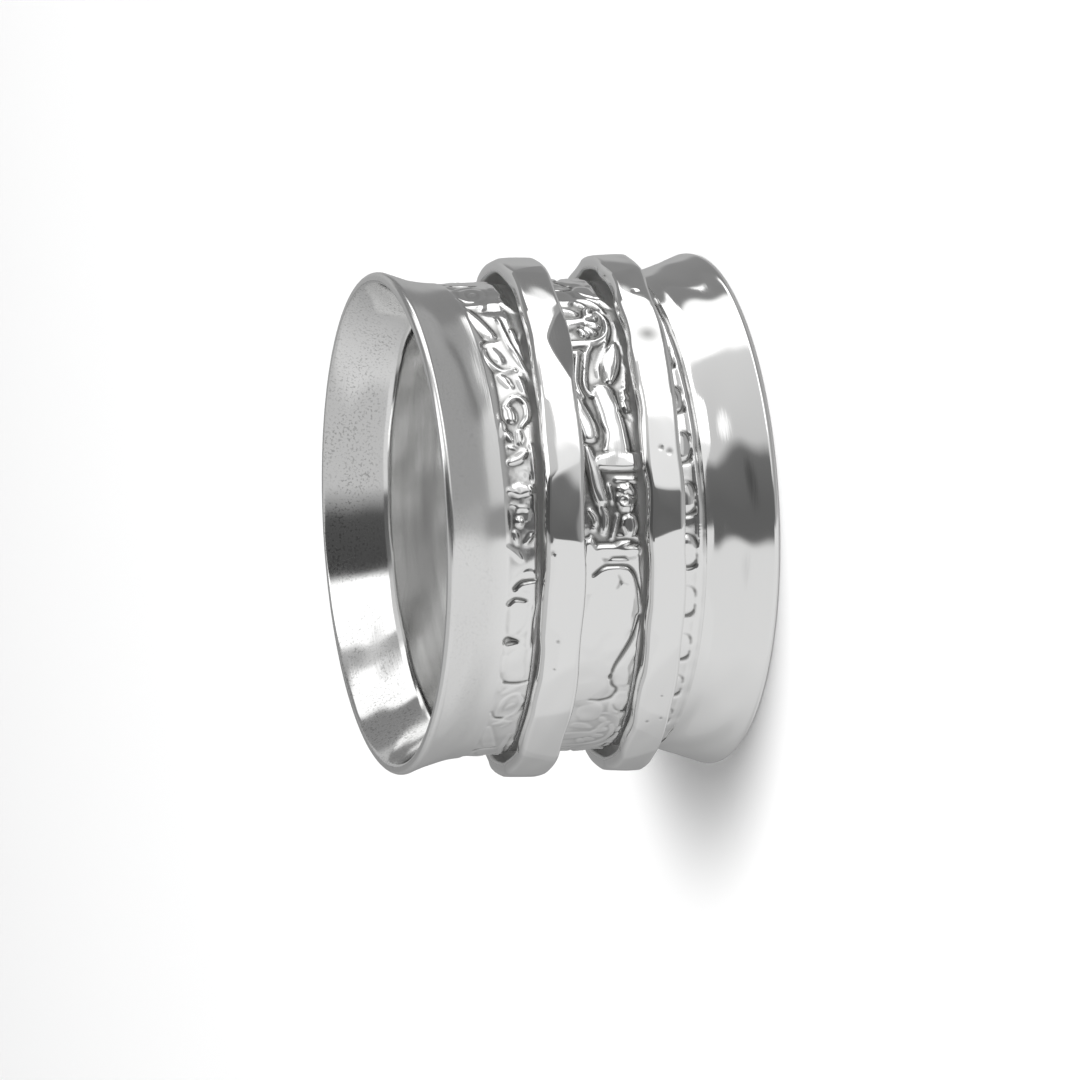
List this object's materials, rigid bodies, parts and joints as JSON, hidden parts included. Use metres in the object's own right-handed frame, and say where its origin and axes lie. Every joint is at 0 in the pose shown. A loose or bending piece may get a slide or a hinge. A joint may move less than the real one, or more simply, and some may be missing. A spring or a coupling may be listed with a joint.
{
  "type": "spinner ring",
  "caption": "Wide silver spinner ring: a flared band with a raised scroll pattern, and two hammered hoops that turn freely round it.",
  "frame": {"origin": "centre of the finger hole in the plane of the lower lip, which is the surface that the ring lies on", "axes": "+Z along the finger hole from the larger flare at the bottom to the smaller flare at the top; X and Y across the ring, with the side that the picture shows towards -Y"},
  "size_m": [0.0226, 0.0226, 0.0143],
  "materials": {
    "band_silver": "polished silver, slightly tarnished in the pattern and satin inside",
    "hoop_silver": "bright hammered silver"
  },
  "bodies": {
    "band": {"band": "band_silver"},
    "upper_hoop": {"upper_hoop": "hoop_silver"},
    "lower_hoop": {"lower_hoop": "hoop_silver"}
  },
  "joints": [
    {"name": "upper_spin", "type": "hinge", "parent": "band", "child": "upper_hoop", "pos_m": [0, 0, 0.00836], "axis": [0.0331, 0.0862, 0.9957], "continuous": true},
    {"name": "lower_spin", "type": "hinge", "parent": "band", "child": "lower_hoop", "pos_m": [0, 0, 0.00398], "axis": [0.0136, 0.0861, 0.9962], "continuous": true}
  ]
}
